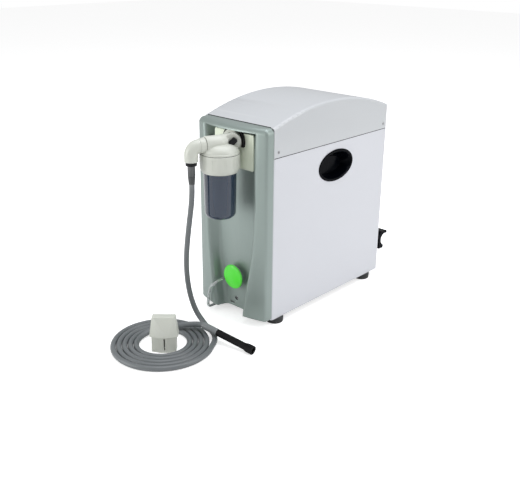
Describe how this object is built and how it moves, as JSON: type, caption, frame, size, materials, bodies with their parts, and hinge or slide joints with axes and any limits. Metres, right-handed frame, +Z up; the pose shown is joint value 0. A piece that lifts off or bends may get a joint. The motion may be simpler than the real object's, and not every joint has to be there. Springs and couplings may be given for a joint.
{
  "type": "surgical suction unit",
  "caption": "Cased clinic vacuum pump with a strainer cup in its front channel, a push button, a coiled suction hose with handpiece and a hose holder.",
  "frame": {"origin": "the floor, at the middle of the box round the unit with its strainer and cord cleat, without the hose", "axes": "+Z up, the front with the strainer faces -Y, +X is on the right of someone who looks at the front"},
  "size_m": [0.2865, 0.8199, 0.4995],
  "materials": {
    "case_white": "smooth",
    "lid_white": "smooth",
    "panel_silver": "satin silver paint",
    "cream": "satin",
    "black_plastic": "gloss",
    "rubber_black": "matt",
    "rubber_grey": "matt",
    "smoke_blue": "tinted",
    "clear_tube": "clear",
    "screen_white": "matt",
    "green": "gloss",
    "hose_grey": "satin",
    "sleeve_grey": "satin",
    "steel": "zinc plated",
    "sheet_grey": "satin",
    "motor_metal": "cast",
    "iron": "machined"
  },
  "bodies": {
    "case": {"base_tray": "sheet_grey", "side_panel_left": "case_white", "side_panel_right": "case_white", "rear_panel": "case_white", "front_bulkhead": "sheet_grey", "top_cover": "lid_white", "lid_brackets": "sheet_grey", "lid_screws": "steel", "front_panel": "panel_silver", "panel_screw": "steel", "grip_cup_left": "black_plastic", "grip_cup_right": "black_plastic", "foot_front_left": "rubber_grey", "foot_front_right": "rubber_grey", "foot_rear_left": "rubber_grey", "foot_rear_right": "rubber_grey", "foot_screws": "steel", "filter_bracket": "cream", "flange_gasket": "rubber_black", "filter_head": "cream", "boss_plug": "black_plastic", "hose_elbow": "cream", "hose_cuff": "rubber_grey", "button_bezel": "black_plastic", "switch_body": "black_plastic", "drain_tube": "clear_tube", "drain_barbs": "cream", "cord_cleat": "black_plastic", "cleat_screws": "steel", "mains_inlet": "black_plastic", "outlet_spigot": "black_plastic", "motor_dampers": "rubber_black", "intake_plenum": "black_plastic", "blower_housing": "motor_metal", "motor_frame": "motor_metal", "field_core": "iron", "silencer_box": "black_plastic", "suction_duct": "rubber_black", "relay_box": "black_plastic", "hose_drop": "hose_grey", "hose_coil": "hose_grey", "hose_tail": "hose_grey", "handpiece_sleeve": "sleeve_grey", "handpiece": "black_plastic", "hose_holder": "cream"},
    "button": {"power_button": "green"},
    "bowl_unit": {"bowl": "smoke_blue", "filter_screen": "screen_white", "bowl_seal": "rubber_black"},
    "ring": {"lock_ring": "cream"},
    "nut": {"hose_nut": "black_plastic"},
    "rotor": {"impeller": "motor_metal", "armature": "iron", "cooling_fan": "black_plastic"},
    "collar": {"tip_collar": "black_plastic"}
  },
  "joints": [
    {"name": "button_press", "type": "slide", "parent": "case", "child": "button", "axis": [0, 1, 0], "range_m": [0, 0.004], "stiffness_N_per_m": 600, "springref_m": -0.002},
    {"name": "bowl_drop", "type": "slide", "parent": "case", "child": "bowl_unit", "axis": [0, 0, -1], "range_m": [0, 0.12]},
    {"name": "ring_turn", "type": "hinge", "parent": "bowl_unit", "child": "ring", "pos_m": [0.0075, -0.23267, 0.38825], "axis": [0, 0, 1], "range_deg": [0, 45]},
    {"name": "nut_turn", "type": "hinge", "parent": "case", "child": "nut", "pos_m": [-0.01672, -0.29353, 0.39175], "axis": [0, 0, 1], "continuous": true},
    {"name": "rotor_spin", "type": "hinge", "parent": "case", "child": "rotor", "pos_m": [0, 0.06333, 0.216], "axis": [0, 0, 1], "continuous": true},
    {"name": "collar_turn", "type": "hinge", "parent": "case", "child": "collar", "pos_m": [0.1536, -0.29056, 0.01087], "axis": [0.9869, 0.1108, -0.1175], "range_deg": [0, 90]}
  ]
}
